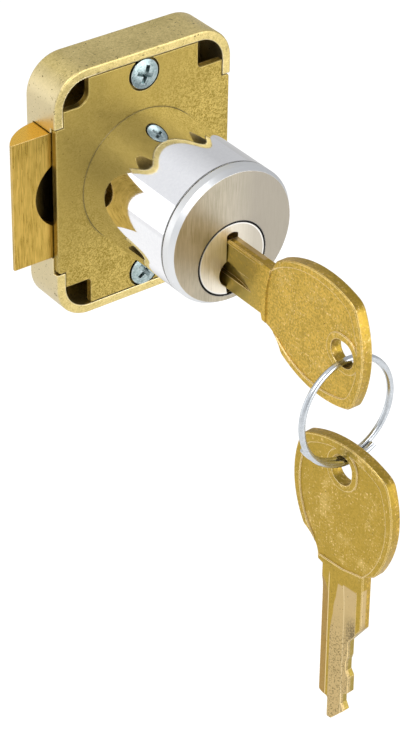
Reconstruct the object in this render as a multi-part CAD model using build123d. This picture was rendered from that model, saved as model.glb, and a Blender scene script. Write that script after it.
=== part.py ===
"""Spring bolt lock for a cabinet door: a key turns the barrel's plug, and its cam draws a sprung latch bolt.

Frame: the origin is on the barrel's axis at the mounting face. -Y points along the barrel to its nose,
+Z is up, and the bolt shoots towards -X. Millimetres.
"""
import os
from math import acos, cos, radians, sin, sqrt

from build123d import *

# Case: a shallow cast cup whose open side is the mounting face
CASE_W = 32.0
CASE_H = 42.0
CASE_D = 7.5
CASE_R = 5.85
WALL = 1.5
BACK = 1.7
CASE_FRONT_EDGE = 0.3
CASE_BACK_EDGE = 0.3

# Cover plate, let in flush with the case's rim
PLATE_T = 1.1
PLATE_GAP = 0.12
PLATE_EDGE = 0.12
NOTCH_W = 4.5
NOTCH_H = 4.3
NOTCH_R = 0.7
WIDE_NOTCH_R = 2.1
TAB_H = 24.8
TAB_SHORT = 0.25
TAB_R = 0.6

# Two screws hold the plate on pillars in the case
SCREW_HEAD_R = 2.4
SCREW_HEAD_H = 1.3
SCREW_DOME = 0.4
SCREW_RIM_GAP = 0.05
SCREW_SHANK_R = 1.45
SCREW_GRIP = 4.2
SCREW_SEAT_R = 2.75
SCREW_SEAT_DEPTH = 0.8
SCREW_TURNS = (20.0, 52.0)
PILLAR_R = 2.7
CROSS_ARM = 0.75
CROSS_SPAN = 3.3
CROSS_DEPTH = 1.0
THREAD_FIT = 0.02
DRILL_SPARE = 0.3

# Four fixing holes in the case's floor, one in each corner
FIX_INSET_X = 3.75
FIX_INSET_Z = 3.85
FIX_R = 1.7

# Barrel: a body, a polished sleeve round it and a cap over its front
BARREL_R = 11.1
BARREL_L = 22.2
BARREL_SEAT = 0.3
BARREL_SEAT_GAP = 0.03
SLEEVE_T = 0.4
CAP_L = 2.05
CAP_T = 0.5
CAP_BEVEL_R = 0.55
CAP_BEVEL_L = 0.8
SEAM = 0.14
BODY_GAP = 0.02
BODY_REAR_WALL = 1.2

# Plug, set low in the barrel so that the pin stacks fit above it
PLUG_R = 5.95
PLUG_DROP = 3.67
PLUG_GAP = 0.11
PLUG_EDGE = 0.1
JOURNAL_R = 3.2
PLUG_TANG = 4.4
REAR_GAP = 0.2

# Pin stacks
PIN_COUNT = 4
PIN_PITCH = 3.4
FIRST_PIN = 5.3
PIN_R = 1.42
PIN_GAP = 0.08
PIN_TIP_R = 0.45
PIN_TIP_H = 0.75
DRIVER_L = 3.3
STRIP_W = 3.8
STRIP_T = 1.1
STRIP_GAP = 0.03
PIN_SPRING_WIRE = 0.24
PIN_SPRING_COILS = 5

# Two screws hold the barrel on the plate from inside
BARREL_SCREW_IN = 2.59
BARREL_SCREW_ANGLE = 29.6
BARREL_SCREW_R = 1.15
BARREL_SCREW_HEAD_R = 1.95
BARREL_SCREW_L = 6.5
BARREL_SCREW_SLOT = 0.45

# Drive cam on the plug's rear, with the stud that pushes the bolt
KEY_TURN = 90.0
CAM_T = 1.35
CAM_HUB_R = 3.1
CAM_LOBE_R = 1.9
CAM_GAP = 0.25
STUD_R = 1.25
STUD_L = 2.5
STUD_LAG = 0.2
CAM_SCREW_HEAD_R = 2.1
CAM_SCREW_HEAD_H = 1.0
CAM_SCREW_R = 1.0
CAM_SCREW_L = 4.5

# Latch bolt
BOLT_OUT = 6.7
BOLT_H = 21.3
BOLT_T = 4.3
BOLT_RISE = 0.9
BOLT_GAP = 0.15
BOLT_TAIL = 5.4
BOLT_NOSE_T = 0.45
BOLT_HEEL = 0.2
POCKET_R = 6.0
POCKET_REACH = 2.7
POCKET_DEPTH = 1.8
RAIL_T = 1.4
RAIL_END = -0.6
LUG_H = 1.2
LUG_W = 2.4

# Two springs push the bolt out
SPRING_R = 0.9
SPRING_WIRE = 0.3
SPRING_COILS = 11
SPRING_HOLE_R = 1.05
SPRING_INSET = 1.5
SPRING_Y = 4.0
SPRING_HOLE_END = -3.0
PEG_R = 0.45
PEG_L = 1.2

# Keys: u runs along the key from its tip, v across it, towards the cuts, from the middle of the shank
KEY_L = 51.5
KEY_T = 1.9
KEY_IN = 20.3
KEY_DROP = 4.3
KEY_EDGE = 0.15
SHANK_H = 8.5
KEYWAY_GAP = 0.07
BOW_BASE = 29.8
BOW_TOP = 9.3
BOW_BOTTOM = -10.8
BOW_RIM = 1.2
BOW_SINK = 0.2
RIM_BASE = 29.6
NAPE_R = 0.6
HOLE_IN = 4.4
HOLE_V = -1.0
HOLE_L = 5.0
HOLE_H = 4.1
HOLE_RIM = 0.95
FLAT_DEPTH = 0.42
FLAT_LOW = -1.75
FLAT_KNEE = 0.35
FLAT_HIGH = 3.1
FLAT_END = 27.2
FLAT_CUTTER_R = 48.0
GROOVE_DEPTH = 0.75
GROOVE_LOW = -1.8
GROOVE_HIGH = 0.7
GROOVE_END = 26.2
GROOVE_CUTTER_R = 21.0
RELIEF_DEPTH = 0.13
RELIEF_LOW = 0.2
RELIEF_KNEE = 2.3
RELIEF_HIGH = 3.6
RELIEF_END = 27.4
RELIEF_CUTTER_R = 40.0
BEVEL_DEPTH = 0.4
BEVEL_HIGH = -2.6
BEVEL_END = 27.6
BEVEL_CUTTER_R = 15.0
TIP_STEP = 3.9
TIP_LOW = 2.1
TIP_HIGH = 3.0
TIP_R = 0.35
RAMP_TOP = 20.5
RAMP_FOOT = 16.5
CUT_HEIGHTS = (5.7, 5.4, 6.05, 4.7)
CUT_FLATS = (2.8, 1.9, 3.0, 2.0)
TIP_PEAK_U = 2.6
TIP_PEAK = 5.3
PIN_LIFT = 0.06

# Keyway in the plug: its top above the key and the hollow beside it
KEYWAY_TOP = 0.5
LOBE_REACH = 1.25
LOBE_TOP = 0.4
LOBE_LOW = -3.8
KEYWAY_SLANT = 0.42

# Ring of spring wire, a little over one turn
RING_R = 8.3
WIRE_R = 0.5
RING_LAP_RIGHT = 32.0
RING_LAP_LEFT = 60.0
RING_PITCH = 1.2
RING_LEAN = 4.0
RING_SEAT = 0.15
SPARE_SEAT = 0.52
SPARE_SIDE = 0.05
SPARE_YAW = 5.5
SPARE_LEAN = -1.0

TINY = 0.01
CASE_FLOOR = CASE_D - BACK
SCREW_Z = CASE_H / 2 - WALL - SCREW_HEAD_R - SCREW_RIM_GAP
FIX_X = CASE_W / 2 - FIX_INSET_X
FIX_Z = CASE_H / 2 - FIX_INSET_Z
NOSE_Y = -BARREL_L
PLUG_Z = -PLUG_DROP
BARREL_SCREW_ORBIT = BARREL_R - BARREL_SCREW_IN
BARREL_SCREW_X = BARREL_SCREW_ORBIT * cos(radians(BARREL_SCREW_ANGLE))
BARREL_SCREW_Z = BARREL_SCREW_ORBIT * sin(radians(BARREL_SCREW_ANGLE))
BODY_R = BARREL_R - SLEEVE_T - BODY_GAP
BORE_R = PLUG_R + PLUG_GAP
BOLT_FRONT = PLATE_T + BOLT_GAP
BOLT_REAR = BOLT_FRONT + BOLT_T
BOLT_TIP = -CASE_W / 2 - BOLT_OUT
STUD_ORBIT = BOLT_OUT / (2 * sin(radians(KEY_TURN / 2)))
STUD_X = -STUD_ORBIT * sin(radians(KEY_TURN / 2))
STUD_Z = PLUG_Z + STUD_ORBIT * cos(radians(KEY_TURN / 2))
CAM_Y = PLATE_T + REAR_GAP
POCKET_FLOOR = BOLT_FRONT + POCKET_DEPTH
KEY_Z = -KEY_DROP
KEY_TIP_Y = NOSE_Y + KEY_IN
HOLE_U = KEY_L - HOLE_IN
SHANK_TOP = SHANK_H / 2
SHANK_LOW = -SHANK_H / 2
STRIP_Z = BODY_R - STRIP_T
PIN_Y = [NOSE_Y + FIRST_PIN + i * PIN_PITCH for i in range(PIN_COUNT)]
RING_TOP_Y = KEY_TIP_Y - HOLE_U
RING_TOP_Z = KEY_Z + HOLE_V - HOLE_H / 2 + WIRE_R + RING_SEAT
RING_FOOT_Y = RING_TOP_Y - 2 * RING_R * sin(radians(RING_LEAN))
RING_FOOT_Z = RING_TOP_Z - 2 * RING_R * cos(radians(RING_LEAN))


def cylinder_y(radius, start, end, x=0.0, z=0.0):
    """A solid cylinder along Y between two heights."""
    disc = Plane(origin=(x, start, z), x_dir=(1, 0, 0), z_dir=(0, 1, 0)) * Circle(radius)
    return extrude(disc, amount=end - start)


def box_between(low, high):
    """A box from its lowest corner to its highest."""
    size = [b - a for a, b in zip(low, high)]
    middle = [(a + b) / 2 for a, b in zip(low, high)]
    return Pos(*middle) * Box(*size)


def lathe(points):
    """A solid turned about the barrel's axis, from (radius, y) points."""
    outline = make_face(Polyline(*points, close=True))
    return revolve(outline, axis=Axis.Y)


def face_xz(y=0.0):
    """A sketch plane facing the nose, with X to the right and Z up."""
    return Plane(origin=(0, y, 0), x_dir=(1, 0, 0), z_dir=(0, -1, 0))


def spring(radius, wire, coils, length, plane):
    """A compression spring that stands on a plane's origin and grows along its normal."""
    path = Helix(pitch=(length - wire) / coils, height=length - wire, radius=radius - wire / 2)
    section = Plane(origin=path @ 0, z_dir=path % 0) * RegularPolygon(wire / 2, 6)
    coil = sweep(section, path=path, is_frenet=True)
    return plane * Pos(0, 0, wire / 2) * coil


# Case
def bolt_mouth():
    """The slot in the left wall that the bolt passes through."""
    low = BOLT_RISE - BOLT_H / 2 - BOLT_GAP
    high = BOLT_RISE + BOLT_H / 2 + BOLT_GAP
    return box_between((-CASE_W, -1, low), (-CASE_W / 2 + WALL + TINY, CASE_FLOOR, high))


def tab_slot():
    """The shallow step in both side walls that takes the plate's tabs."""
    half = TAB_H / 2 + PLATE_GAP
    return box_between((-CASE_W, -1, -half), (CASE_W, PLATE_T, half))


def guide_rail(side):
    """A rail along the bolt's upper (+1) or lower (-1) edge."""
    near = BOLT_RISE + side * (BOLT_H / 2 + BOLT_GAP)
    far = near + side * RAIL_T
    low, high = sorted((near, far))
    return box_between((-CASE_W / 2 + WALL - TINY, PLATE_T, low), (RAIL_END, CASE_FLOOR + TINY, high))


def make_case():
    outer = extrude(face_xz() * RectangleRounded(CASE_W, CASE_H, CASE_R), amount=-CASE_D)
    outer = fillet(outer.edges().group_by(Axis.Y)[-1], CASE_BACK_EDGE)
    outer = fillet(outer.edges().group_by(Axis.Y)[0], CASE_FRONT_EDGE)
    inner = RectangleRounded(CASE_W - 2 * WALL, CASE_H - 2 * WALL, CASE_R - WALL)
    body = outer - extrude(face_xz() * inner, amount=-CASE_FLOOR)
    for side in (-1, 1):
        pillar = cylinder_y(PILLAR_R, PLATE_T, CASE_FLOOR + TINY, z=side * SCREW_Z)
        body += pillar & extrude(face_xz() * RectangleRounded(CASE_W, CASE_H, CASE_R), amount=-CASE_D)
        body += guide_rail(side)
        hole_end = SCREW_SEAT_DEPTH + SCREW_GRIP + DRILL_SPARE
        body -= cylinder_y(SCREW_SHANK_R + THREAD_FIT, 0, hole_end, z=side * SCREW_Z)
        for x in (-FIX_X, FIX_X):
            body -= cylinder_y(FIX_R, CASE_FLOOR - 1, CASE_D + 1, x=x, z=side * FIX_Z)
        peg_z = BOLT_RISE + side * (BOLT_H / 2 - SPRING_INSET)
        peg = Plane(origin=(CASE_W / 2 - WALL + TINY, SPRING_Y, peg_z), z_dir=(-1, 0, 0)) * Circle(PEG_R)
        body += extrude(peg, amount=PEG_L + TINY)
    return body - bolt_mouth() - tab_slot()


# Cover plate
def plate_outline():
    """The plate's face: a rectangle with a notch in each corner and a tab on each side."""
    half_w = CASE_W / 2 - WALL - PLATE_GAP
    half_h = CASE_H / 2 - WALL - PLATE_GAP
    sheet = Rectangle(2 * half_w, 2 * half_h)
    sheet += Rectangle(CASE_W - 2 * TAB_SHORT, TAB_H)
    for side_x in (-1, 1):
        for side_z in (-1, 1):
            radius = WIDE_NOTCH_R if side_x < 0 < side_z else NOTCH_R
            notch = RectangleRounded(2 * NOTCH_W, 2 * NOTCH_H, radius)
            sheet -= Pos(side_x * half_w, side_z * half_h) * notch
    corners = sheet.vertices().filter_by(lambda v: abs(v.X) > CASE_W / 2 - TAB_SHORT - TINY)
    return fillet(corners, TAB_R)


def make_cover_plate():
    plate = extrude(face_xz() * plate_outline(), amount=-PLATE_T)
    front = plate.faces().sort_by(Axis.Y)[0]
    plate = chamfer(front.edges(), PLATE_EDGE)
    for side in (-1, 1):
        plate -= cylinder_y(SCREW_SEAT_R, -1, SCREW_SEAT_DEPTH, z=side * SCREW_Z)
        plate -= cylinder_y(SCREW_SHANK_R + 0.15, -1, PLATE_T + 1, z=side * SCREW_Z)
        plate -= barrel_screw_room(side)
    plate -= cylinder_y(BARREL_R + BARREL_SEAT_GAP, -1, BARREL_SEAT)
    plate -= cylinder_y(JOURNAL_R + 0.3, -1, PLATE_T + 1, z=PLUG_Z)
    return plate


# Plate screws
def cross_recess(y_top):
    """The tapered cross in a screw's head, opening towards -Y."""
    arm = Rectangle(CROSS_SPAN, CROSS_ARM) + Rectangle(CROSS_ARM, CROSS_SPAN)
    floor = Rectangle(CROSS_SPAN * 0.45, CROSS_ARM * 0.7) + Rectangle(CROSS_ARM * 0.7, CROSS_SPAN * 0.45)
    mouth = Plane(origin=(0, y_top, 0), x_dir=(1, 0, 0), z_dir=(0, -1, 0)) * arm
    bottom = Plane(origin=(0, y_top + CROSS_DEPTH, 0), x_dir=(1, 0, 0), z_dir=(0, -1, 0)) * floor
    return loft([mouth, bottom])


def make_plate_screw(side, turn):
    seat = SCREW_SEAT_DEPTH
    top = seat - SCREW_HEAD_H
    dome_r = (SCREW_HEAD_R ** 2 + SCREW_DOME ** 2) / (2 * SCREW_DOME)
    head = cylinder_y(SCREW_HEAD_R, top, seat) & Pos(0, top + dome_r, 0) * Sphere(dome_r)
    shank = cylinder_y(SCREW_SHANK_R, seat - TINY, seat + SCREW_GRIP)
    shank = chamfer(shank.edges().group_by(Axis.Y)[-1], SCREW_SHANK_R * 0.3)
    screw = head + shank - cross_recess(top)
    return Pos(0, 0, side * SCREW_Z) * Rot(0, turn, 0) * screw


# Barrel
def barrel_screw_room(side):
    """The countersunk hole through the plate for one barrel screw."""
    clear = BARREL_SCREW_R + 0.1
    head = BARREL_SCREW_HEAD_R + 0.05
    depth = head - clear
    beyond = PLATE_T + 1
    profile = [(0, -1), (clear, -1), (clear, PLATE_T - depth), (head, PLATE_T), (head, beyond), (0, beyond)]
    return Pos(side * BARREL_SCREW_X, 0, BARREL_SCREW_Z) * lathe(profile)


def make_barrel_screw(side):
    cone = BARREL_SCREW_HEAD_R - BARREL_SCREW_R
    end = PLATE_T - BARREL_SCREW_L
    profile = [(0, PLATE_T), (BARREL_SCREW_HEAD_R, PLATE_T), (BARREL_SCREW_R, PLATE_T - cone),
               (BARREL_SCREW_R, end + 0.4), (BARREL_SCREW_R - 0.4, end), (0, end)]
    half = BARREL_SCREW_SLOT / 2
    slot = box_between((-BARREL_SCREW_HEAD_R, PLATE_T - BARREL_SCREW_SLOT, -half),
                       (BARREL_SCREW_HEAD_R, PLATE_T + 1, half))
    return Pos(side * BARREL_SCREW_X, 0, BARREL_SCREW_Z) * (lathe(profile) - slot)


def make_barrel_body():
    front = NOSE_Y + CAP_T + BODY_GAP
    bevel = CAP_BEVEL_R + 0.1
    front_edge = front + CAP_BEVEL_L
    rear = BARREL_SEAT
    body = lathe([(0, rear), (BODY_R, rear), (BODY_R, front_edge), (BODY_R - bevel, front), (0, front)])
    body -= cylinder_y(BORE_R, front - 1, -BODY_REAR_WALL, z=PLUG_Z)
    body -= cylinder_y(JOURNAL_R + PLUG_GAP, -BODY_REAR_WALL - 1, 1, z=PLUG_Z)
    for y in PIN_Y:
        chamber = Plane(origin=(0, y, PLUG_Z + PLUG_R * 0.8)) * Circle(PIN_R + PIN_GAP)
        body -= extrude(chamber, amount=BODY_R)
    body -= strip_block(STRIP_W / 2 + STRIP_GAP, STRIP_Z, PIN_PITCH * 0.75 + STRIP_GAP)
    hole_end = PLATE_T - BARREL_SCREW_L - DRILL_SPARE
    for x in (-BARREL_SCREW_X, BARREL_SCREW_X):
        body -= cylinder_y(BARREL_SCREW_R + THREAD_FIT, hole_end, 1, x=x, z=BARREL_SCREW_Z)
    return body


def strip_block(half_width, floor, reach):
    """The straight block that closes the pin chambers, before its top is rounded."""
    return box_between((-half_width, PIN_Y[0] - reach, floor), (half_width, PIN_Y[-1] + reach, BARREL_R + 1))


def make_chamber_strip():
    strip = strip_block(STRIP_W / 2, STRIP_Z, PIN_PITCH * 0.75)
    return strip & cylinder_y(BODY_R, NOSE_Y, 0)


def make_sleeve():
    inner = BARREL_R - SLEEVE_T
    end = NOSE_Y + CAP_L + SEAM
    return lathe([(inner, 0), (BARREL_R, 0), (BARREL_R, end), (inner, end)])


def make_front_cap():
    inner = BARREL_R - SLEEVE_T
    rear = NOSE_Y + CAP_L
    floor = NOSE_Y + CAP_T
    outside = [(0, NOSE_Y), (BARREL_R - CAP_BEVEL_R, NOSE_Y), (BARREL_R, NOSE_Y + CAP_BEVEL_L)]
    outside.append((BARREL_R, rear))
    inside = [(inner, rear), (inner, floor + CAP_BEVEL_L), (inner - CAP_BEVEL_R, floor), (0, floor)]
    cap = lathe(outside + inside) - cylinder_y(BORE_R, NOSE_Y - 1, 0, z=PLUG_Z)
    rim = cap.faces().sort_by(Axis.Y)[0].edges().sort_by(SortBy.LENGTH)[0]
    return chamfer(rim, PLUG_EDGE)


# Plug
def keyway_profile():
    """The keyway's section on the nose: a slot with a ward on its right and a hollow on its left."""
    half = KEY_T / 2 + KEYWAY_GAP
    top = SHANK_TOP + KEYWAY_TOP
    low = PLUG_Z - KEY_Z - BORE_R - 1
    inner = half - FLAT_DEPTH
    ward_high = FLAT_HIGH - KEYWAY_GAP
    right = Polyline((half, top), (half, ward_high), (inner, ward_high), (inner, FLAT_KNEE), (half, FLAT_LOW),
                     (half, low), (-half + KEYWAY_SLANT, low), (-half, LOBE_LOW))
    belly = (-half - LOBE_REACH, (LOBE_LOW + LOBE_TOP) / 2)
    hollow = ThreePointArc((-half, LOBE_LOW), belly, (-half, LOBE_TOP))
    left = Line((-half, LOBE_TOP), (-half, top))
    crown = ThreePointArc((-half, top), (0, top + 0.35), (half, top))
    return Pos(0, KEY_Z) * make_face(right + hollow + left + crown)


def make_plug():
    rear = -BODY_REAR_WALL - PLUG_GAP
    barrel = cylinder_y(PLUG_R, NOSE_Y, rear, z=PLUG_Z)
    barrel = chamfer(barrel.edges().group_by(Axis.Y)[0], PLUG_EDGE)
    journal = cylinder_y(JOURNAL_R, rear - TINY, CAM_Y, z=PLUG_Z)
    half = PLUG_TANG / 2
    tang = box_between((-half, CAM_Y - TINY, PLUG_Z - half), (half, CAM_Y + CAM_T - 0.1, PLUG_Z + half))
    tang &= cylinder_y(CAM_HUB_R - 0.3, 0, CASE_D, z=PLUG_Z)
    plug = barrel + journal + tang
    plug -= extrude(face_xz(NOSE_Y - 1) * keyway_profile(), amount=-(KEY_IN + 1.15))
    for y in PIN_Y:
        chamber = Plane(origin=(0, y, KEY_Z + SHANK_LOW + min(CUT_HEIGHTS) - 0.2)) * Circle(PIN_R + PIN_GAP)
        plug -= extrude(chamber, amount=BARREL_R)
    screw_end = CAM_Y + CAM_T - CAM_SCREW_L - DRILL_SPARE
    return plug - cylinder_y(CAM_SCREW_R + THREAD_FIT, screw_end, CASE_D, z=PLUG_Z)


def make_key_pin(index):
    """A pin that rises from just over the key's blade to the plug's surface."""
    passed = CUT_HEIGHTS[index:]
    rest = KEY_Z + SHANK_LOW + max(passed + (TIP_PEAK,)) + PIN_LIFT
    crown = PLUG_Z + sqrt((PLUG_R - 0.04) ** 2 - PIN_R ** 2)
    profile = [(0, rest), (PIN_TIP_R, rest), (PIN_R, rest + PIN_TIP_H), (PIN_R, crown), (0, crown)]
    turned = revolve(Plane.XZ * make_face(Polyline(*profile, close=True)), axis=Axis.Z)
    return Pos(0, PIN_Y[index], 0) * turned


def make_driver_pin(index):
    foot = PLUG_Z + BORE_R + 0.05
    pin = Plane(origin=(0, PIN_Y[index], foot)) * Circle(PIN_R)
    pin = extrude(pin, amount=DRIVER_L)
    return chamfer(pin.edges().group_by(Axis.Z)[-1], 0.2)


def make_pin_spring(index):
    foot = PLUG_Z + BORE_R + 0.05 + DRIVER_L
    plane = Plane(origin=(0, PIN_Y[index], foot + 0.02))
    return spring(PIN_R - 0.1, PIN_SPRING_WIRE, PIN_SPRING_COILS, STRIP_Z - foot - 0.04, plane)


# Drive cam
def make_drive_cam():
    hub = Pos(0, PLUG_Z) * Circle(CAM_HUB_R)
    lobe = Pos(STUD_X, STUD_Z) * Circle(CAM_LOBE_R)
    plan = make_hull((hub + lobe).edges()) - Pos(STUD_X, STUD_Z) * Circle(STUD_R)
    half = PLUG_TANG / 2 + THREAD_FIT
    square = Pos(0, PLUG_Z) * (Rectangle(2 * half, 2 * half) & Circle(CAM_HUB_R - 0.3 + THREAD_FIT))
    return extrude(face_xz(CAM_Y) * (plan - square), amount=-CAM_T)


def make_drive_stud():
    stud = cylinder_y(STUD_R, CAM_Y, CAM_Y + CAM_T + STUD_L, x=STUD_X, z=STUD_Z)
    return chamfer(stud.edges().group_by(Axis.Y)[-1], 0.2)


def make_cam_screw():
    seat = CAM_Y + CAM_T
    head = cylinder_y(CAM_SCREW_HEAD_R, seat, seat + CAM_SCREW_HEAD_H, z=PLUG_Z)
    head = fillet(head.edges().group_by(Axis.Y)[-1], CAM_SCREW_HEAD_H * 0.5)
    shank = cylinder_y(CAM_SCREW_R, seat - CAM_SCREW_L, seat + TINY, z=PLUG_Z)
    slot = box_between((-CAM_SCREW_HEAD_R, seat + CAM_SCREW_HEAD_H - 0.5, PLUG_Z - 0.3),
                       (CAM_SCREW_HEAD_R, seat + CAM_SCREW_HEAD_H + 1, PLUG_Z + 0.3))
    return head + shank - slot


# Latch bolt
def bolt_plan():
    """The bolt seen from above: flat in front, with a rounded lead on the rear of its nose."""
    heel = -CASE_W / 2 + BOLT_HEEL
    lip = (BOLT_TIP, BOLT_FRONT + BOLT_NOSE_T)
    belly = (BOLT_TIP + BOLT_OUT * 0.345, BOLT_FRONT + BOLT_T * 0.65)
    nose = ThreePointArc(lip, belly, (heel, BOLT_REAR))
    tail = [(heel, BOLT_REAR), (BOLT_TAIL, BOLT_REAR), (BOLT_TAIL, BOLT_FRONT), (BOLT_TIP, BOLT_FRONT)]
    return make_face(nose + Polyline(*tail, lip))


def make_bolt():
    low = BOLT_RISE - BOLT_H / 2
    bolt = extrude(Plane(origin=(0, 0, low)) * bolt_plan(), amount=BOLT_H)
    lug_left = RAIL_END + 0.1
    lug_right = lug_left + LUG_W
    bolt += box_between((lug_left, BOLT_FRONT, low - LUG_H), (lug_right, BOLT_REAR, low + BOLT_H + LUG_H))
    bolt -= cam_pocket()
    bolt -= stud_window()
    bolt -= screw_window()
    for side in (-1, 1):
        z = BOLT_RISE + side * (BOLT_H / 2 - SPRING_INSET)
        hole = Plane(origin=(SPRING_HOLE_END, SPRING_Y, z), z_dir=(1, 0, 0)) * Circle(SPRING_HOLE_R)
        bolt -= extrude(hole, amount=BOLT_TAIL - SPRING_HOLE_END + 1)
    return bolt


def cam_pocket():
    """The round-ended pocket in the bolt's front face that the cam turns in."""
    left = BOLT_TIP + POCKET_REACH + POCKET_R + 1.3
    right = STUD_X + CAM_LOBE_R + 0.6
    hub_reach = max(CAM_HUB_R, JOURNAL_R) + CAM_GAP
    hub_left = -BOLT_OUT - hub_reach
    hub_right = hub_reach
    hub_low = PLUG_Z - hub_reach
    slot = Pos(left, BOLT_RISE) * Circle(POCKET_R)
    slot += Pos((left + right) / 2, BOLT_RISE) * Rectangle(right - left, 2 * POCKET_R)
    hub = Rectangle(hub_right - hub_left, BOLT_RISE - hub_low)
    hub = Pos((hub_left + hub_right) / 2, (BOLT_RISE + hub_low) / 2) * fillet(hub.vertices(), 1.0)
    return extrude(face_xz(0) * (slot + hub), amount=-POCKET_FLOOR)


def stud_window():
    """The stud's opening: tight on its right, open on its left so that the bolt can spring in by itself."""
    right = STUD_X + STUD_R + STUD_LAG
    left = STUD_X - STUD_R - BOLT_OUT - CAM_GAP
    low = STUD_Z - STUD_R - CAM_GAP
    high = PLUG_Z + STUD_ORBIT + STUD_R + CAM_GAP
    return box_between((left, 0, low), (right, CASE_D, high))


def screw_window():
    """The opening that clears the head of the cam's screw over the bolt's travel."""
    reach = CAM_SCREW_HEAD_R + CAM_GAP
    return box_between((-BOLT_OUT - reach, 0, PLUG_Z - reach), (reach, CASE_D, PLUG_Z + reach))


def make_bolt_spring(side):
    z = BOLT_RISE + side * (BOLT_H / 2 - SPRING_INSET)
    plane = Plane(origin=(SPRING_HOLE_END + 0.05, SPRING_Y, z), z_dir=(1, 0, 0))
    length = CASE_W / 2 - WALL - SPRING_HOLE_END - 0.1
    return spring(SPRING_R, SPRING_WIRE, SPRING_COILS, length, plane)


# Keys
def blade_outline():
    """The shank and blade from the side, with the cuts along its upper edge."""
    pin_u = [KEY_IN - FIRST_PIN - i * PIN_PITCH for i in range(PIN_COUNT)]
    heights = [SHANK_LOW + height for height in CUT_HEIGHTS]
    points = [(BOW_BASE + 3, SHANK_TOP), (RAMP_TOP, SHANK_TOP), (RAMP_FOOT, heights[0])]
    for index, (u, height, flat) in enumerate(zip(pin_u, heights, CUT_FLATS)):
        if index > 0:
            points.append((u + flat / 2, height))
        points.append((u - flat / 2, height))
    tip_low = SHANK_LOW + TIP_LOW
    points += [(TIP_PEAK_U, SHANK_LOW + TIP_PEAK), (0, SHANK_LOW + TIP_HIGH), (0, tip_low)]
    points += [(TIP_STEP, tip_low), (TIP_STEP, SHANK_LOW), (BOW_BASE + 3, SHANK_LOW)]
    blade = make_face(Polyline(*points, close=True))
    tip = blade.vertices().filter_by(lambda v: v.X < TIP_STEP + TINY and v.Y < SHANK_LOW + TIP_HIGH + TINY)
    return fillet(tip, TIP_R)


def bow_outline(inset=0.0):
    """The bow from the side: a rounded shield, a little larger below the shank than above it."""
    top = BOW_TOP - inset
    bottom = BOW_BOTTOM + inset
    end = KEY_L - inset
    base = BOW_BASE
    middle = (base + end) / 2 + 1.2
    crown = (base + 2.0, top - 2.9)
    far_top = (end - 2.4, top - 1.5)
    far_low = (end - 2.1, bottom + 1.4)
    shoulder = (base + 3.6, bottom + 2.4)
    collar = (base - 1.0, SHANK_LOW - 1.0)
    upper = ThreePointArc(crown, (middle, top), far_top)
    outer = ThreePointArc(far_top, (end, HOLE_V - 0.6), far_low)
    lower = ThreePointArc(far_low, (middle + 0.3, bottom), shoulder)
    low_neck = ThreePointArc(shoulder, (base + 1.6, SHANK_LOW - 1.75), collar)
    neck = Polyline(collar, (base - 1.4, SHANK_LOW + 0.2), (base - 0.2, 0),
                    (base + 0.6, SHANK_TOP - 0.3), crown)
    bow = make_face(upper + outer + lower + low_neck + neck)
    corners = bow.vertices().filter_by(lambda v: v.X > end - 2.5)
    bow = fillet(corners, 2.6)
    low_corner = bow.vertices().filter_by(lambda v: abs(v.X - shoulder[0]) < TINY)
    top_corner = bow.vertices().filter_by(lambda v: abs(v.Y - crown[1]) < TINY)
    return fillet(low_corner + top_corner, 1.5)


def bow_field():
    """The sunk field on each face of the bow: inside its border, clear of the rim round its hole."""
    field = bow_outline(BOW_RIM)
    reach = BOW_TOP - BOW_BOTTOM
    field -= Pos(RIM_BASE - reach / 2, 0) * Rectangle(reach, 2 * reach)
    return field - Pos(HOLE_U, HOLE_V) * slot_outline(HOLE_RIM)


def slot_outline(margin=0.0):
    """The bow's hole, or the rim round it when a margin is given."""
    return SlotOverall(HOLE_L + 2 * margin, HOLE_H + 2 * margin)


def milling(profile, end, cutter_r):
    """A groove from the tip: its (v, depth) profile runs along the blade, then rises with the cutter."""
    depth = max(point[1] for point in profile)
    rise = depth + 0.2
    floor = KEY_T / 2 - depth
    swing = acos(1 - rise / cutter_r)
    start = end - cutter_r * sin(acos(1 - depth / cutter_r))
    v = profile[0][0]
    corners = [(-1, high, floor + depth - sunk) for high, sunk in profile]
    corners += [(-1, profile[-1][0], KEY_T), (-1, v, KEY_T)]
    section = make_face(Polyline(*corners, close=True))
    run = Line((-1, v, floor), (start, v, floor))
    middle = (start + cutter_r * sin(swing / 2), v, floor + cutter_r * (1 - cos(swing / 2)))
    lift = ThreePointArc((start, v, floor), middle, (start + cutter_r * sin(swing), v, floor + rise))
    return sweep(section, path=run + lift)


def side_groove():
    """The one-sided groove that shows on the left of the key in the lock."""
    return milling([(GROOVE_LOW, GROOVE_DEPTH), (GROOVE_HIGH, 0)], GROOVE_END, GROOVE_CUTTER_R)


def blade_relief():
    """A shallow milled face above the side groove."""
    profile = [(RELIEF_LOW, RELIEF_DEPTH / 4), (RELIEF_KNEE, RELIEF_DEPTH), (RELIEF_HIGH, RELIEF_DEPTH)]
    return milling(profile, RELIEF_END, RELIEF_CUTTER_R)


def blade_flat():
    """The broad milling on the other side: a slanted facet, then a flat one."""
    profile = [(FLAT_LOW, 0), (FLAT_KNEE, FLAT_DEPTH), (FLAT_HIGH, FLAT_DEPTH)]
    return mirror(milling(profile, FLAT_END, FLAT_CUTTER_R), about=Plane.XY)


def edge_bevel():
    """The bevel along the shank's plain edge, on the same side as the broad milling."""
    slope = BEVEL_DEPTH / (BEVEL_HIGH - SHANK_LOW)
    profile = [(SHANK_LOW - 1, BEVEL_DEPTH + slope), (BEVEL_HIGH, 0)]
    return mirror(milling(profile, BEVEL_END, BEVEL_CUTTER_R), about=Plane.XY)


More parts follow.
